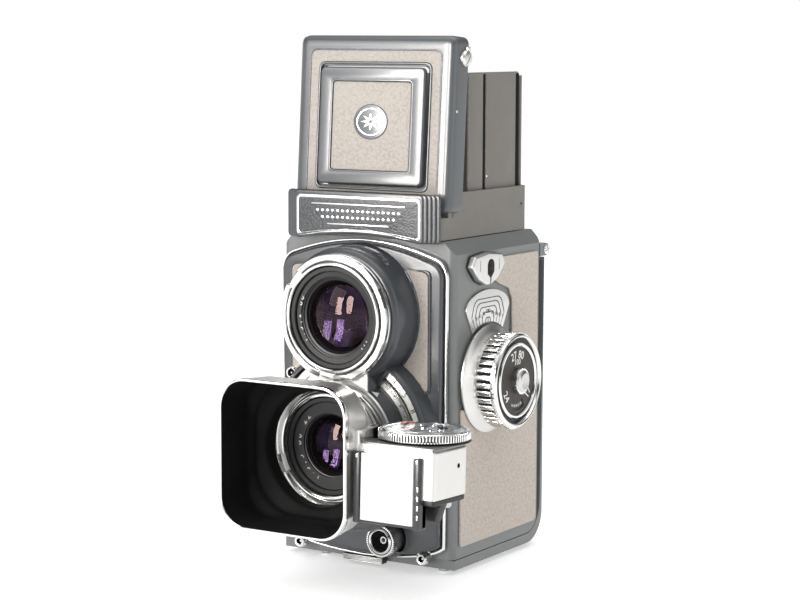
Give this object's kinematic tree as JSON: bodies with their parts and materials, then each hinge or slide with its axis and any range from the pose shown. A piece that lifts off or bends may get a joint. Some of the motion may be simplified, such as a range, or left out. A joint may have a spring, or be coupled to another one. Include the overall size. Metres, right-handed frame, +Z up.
{
  "type": "twin lens reflex camera",
  "caption": "Small grey twin lens reflex camera with open waist-level hood, square lens hood, side exposure meter, focusing knob and hinged back.",
  "frame": {"origin": "middle of the camera's box seen from above, level with the tips of its feet", "axes": "+Z up, -Y towards the subject the lenses face, +X to the right of a person facing the lenses, the side of the focusing knob"},
  "size_m": [0.0946, 0.1084, 0.1689],
  "materials": {
    "body_paint": "semi-gloss grey enamel",
    "front_paint": "gloss dark slate enamel",
    "lid_paint": "gloss blue-grey enamel",
    "hood_paint": "matt warm grey enamel",
    "leatherette": "fine pebbled grey-beige covering",
    "chrome": "polished chrome",
    "satin_metal": "satin",
    "black_metal": "matt black",
    "steel": "brushed",
    "lens_glass": "coated optical glass",
    "screen_glass": "ground glass",
    "mirror_glass": "silvered glass",
    "white_plastic": "opal white"
  },
  "bodies": {
    "body": {"body_shell": "body_paint", "hinge_rod": "chrome", "film_gate": "black_metal", "reflex_mirror": "mirror_glass", "focusing_screen": "screen_glass", "strap_lug_right": "chrome", "strap_lug_left": "chrome", "leather_right": "leatherette", "leather_left": "leatherette", "depth_scale": "satin_metal", "nameplate": "front_paint", "hood_base": "hood_paint", "corner_stud_right": "chrome", "corner_stud_left": "chrome"},
    "upper_roller": {"film_roller_upper": "steel"},
    "lower_roller": {"film_roller_lower": "steel"},
    "take_up": {"take_up_spool": "black_metal", "wind_knob": "satin_metal"},
    "supply": {"supply_spool": "black_metal"},
    "supply_pull": {"supply_knob": "satin_metal"},
    "focus": {"focus_flange": "satin_metal", "focus_knob": "satin_metal", "focus_shaft": "steel"},
    "film_speed": {"film_speed_dial": "black_metal"},
    "front_standard": {"front_plate": "front_paint", "front_trim": "chrome", "leather_front_right": "leatherette", "leather_front_left": "leatherette", "viewing_lens_ring": "chrome", "viewing_lens": "lens_glass", "shutter_housing": "satin_metal", "taking_lens_ring": "chrome", "taking_lens": "lens_glass", "flash_socket": "chrome", "release_collar": "chrome", "lens_hood": "satin_metal", "meter_housing": "satin_metal"},
    "speed": {"speed_ring": "satin_metal"},
    "aperture": {"aperture_ring": "satin_metal"},
    "release": {"release_button": "steel"},
    "dial": {"meter_dial": "chrome"},
    "diffuser": {"meter_diffuser": "white_plastic"},
    "lid": {"hood_lid": "lid_paint", "lid_stud": "chrome"},
    "flap": {"finder_flap": "lid_paint"},
    "loupe": {"magnifier": "black_metal"},
    "hood_right": {"hood_leaf_right_front": "hood_paint", "hood_leaf_right_rear": "hood_paint"},
    "hood_left": {"hood_leaf_left_front": "hood_paint", "hood_leaf_left_rear": "hood_paint"},
    "hood_rear": {"hood_rear_panel": "hood_paint"},
    "door": {"back_cover": "body_paint", "leather_back": "leatherette", "pressure_plate": "black_metal", "tripod_bush": "steel", "foot_front_left": "chrome", "foot_front_right": "chrome", "foot_back_left": "chrome", "foot_back_right": "chrome"},
    "latch": {"back_latch": "chrome"}
  },
  "joints": [
    {"name": "focus_slide", "type": "slide", "parent": "body", "child": "front_standard", "axis": [0, -1, 0], "range_m": [0, 0.0032]},
    {"name": "focus_turn", "type": "hinge", "parent": "body", "child": "focus", "pos_m": [0.0317, 0.01295, 0.0607], "axis": [1, 0, 0], "range_deg": [0, 240]},
    {"name": "film_speed_turn", "type": "hinge", "parent": "focus", "child": "film_speed", "pos_m": [0.0397, 0.01295, 0.0607], "axis": [1, 0, 0], "range_deg": [-150, 150]},
    {"name": "wind_turn", "type": "hinge", "parent": "body", "child": "take_up", "pos_m": [-0.0343, 0.03425, 0.0752], "axis": [1, 0, 0], "continuous": true},
    {"name": "supply_turn", "type": "hinge", "parent": "body", "child": "supply", "pos_m": [-0.0043, 0.02725, 0.0165], "axis": [1, 0, 0], "continuous": true},
    {"name": "upper_roller_turn", "type": "hinge", "parent": "body", "child": "upper_roller", "pos_m": [-0.0043, 0.04405, 0.0685], "axis": [1, 0, 0], "continuous": true},
    {"name": "lower_roller_turn", "type": "hinge", "parent": "body", "child": "lower_roller", "pos_m": [-0.0043, 0.04405, 0.0142], "axis": [1, 0, 0], "continuous": true},
    {"name": "supply_pull_slide", "type": "slide", "parent": "body", "child": "supply_pull", "axis": [-1, 0, 0], "range_m": [0, 0.006], "stiffness_N_per_m": 120, "springref_m": -0.002},
    {"name": "speed_turn", "type": "hinge", "parent": "front_standard", "child": "speed", "pos_m": [-0.0043, -0.01475, 0.0417], "axis": [0, -1, 0], "range_deg": [-60, 60]},
    {"name": "aperture_turn", "type": "hinge", "parent": "front_standard", "child": "aperture", "pos_m": [-0.0043, -0.01475, 0.0417], "axis": [0, -1, 0], "range_deg": [-40, 40]},
    {"name": "release_press", "type": "slide", "parent": "front_standard", "child": "release", "axis": [0, 1, 0], "range_m": [0, 0.0012], "stiffness_N_per_m": 400, "springref_m": -0.0015},
    {"name": "meter_dial_turn", "type": "hinge", "parent": "front_standard", "child": "dial", "pos_m": [0.0333, -0.03265, 0.0497], "axis": [0, 0.0349, 0.9994], "continuous": true},
    {"name": "diffuser_slide", "type": "slide", "parent": "front_standard", "child": "diffuser", "axis": [0, 0.0349, 0.9994], "range_m": [0, 0.005]},
    {"name": "hood_fold", "type": "hinge", "parent": "body", "child": "lid", "pos_m": [-0.0043, -0.00217, 0.11857], "axis": [-1, 0, 0], "range_deg": [0, 86]},
    {"name": "flap_turn", "type": "hinge", "parent": "lid", "child": "flap", "pos_m": [-0.0043, -0.00321, 0.12208], "axis": [1, 0, 0], "range_deg": [-45, 0]},
    {"name": "loupe_turn", "type": "hinge", "parent": "flap", "child": "loupe", "pos_m": [-0.0043, 0.00077, 0.15618], "axis": [-1, 0, 0], "range_deg": [-88, 0]},
    {"name": "right_leaves_fold", "type": "hinge", "parent": "body", "child": "hood_right", "pos_m": [0.0219, 0.02325, 0.1115], "axis": [0, -1, 0], "range_deg": [0, 90], "deforming": ["hood_leaf_right_front", "hood_leaf_right_rear"]},
    {"name": "left_leaves_fold", "type": "hinge", "parent": "body", "child": "hood_left", "pos_m": [-0.0305, 0.02325, 0.1097], "axis": [0, 1, 0], "range_deg": [0, 90], "deforming": ["hood_leaf_left_front", "hood_leaf_left_rear"]},
    {"name": "rear_panel_fold", "type": "hinge", "parent": "body", "child": "hood_rear", "pos_m": [-0.0043, 0.04445, 0.1133], "axis": [1, 0, 0], "range_deg": [0, 90], "deforming": ["hood_rear_panel"]},
    {"name": "door_open", "type": "hinge", "parent": "body", "child": "door", "pos_m": [-0.0043, 0.05215, 0.0987], "axis": [1, 0, 0], "range_deg": [0, 110]},
    {"name": "latch_turn", "type": "hinge", "parent": "door", "child": "latch", "pos_m": [-0.0043, -0.00665, 0.0017], "axis": [1, 0, 0], "range_deg": [0, 70]}
  ],
  "couplings": [
    {"joint": "focus_turn", "follows": "focus_slide", "rad_per_m": 1308.5},
    {"joint": "supply_turn", "follows": "wind_turn", "ratio": 1},
    {"joint": "upper_roller_turn", "follows": "wind_turn", "ratio": -1.8},
    {"joint": "lower_roller_turn", "follows": "wind_turn", "ratio": -1.8},
    {"joint": "right_leaves_fold", "follows": "hood_fold", "ratio": 1.0465},
    {"joint": "left_leaves_fold", "follows": "hood_fold", "ratio": 1.0465},
    {"joint": "rear_panel_fold", "follows": "hood_fold", "ratio": 1.0465}
  ]
}
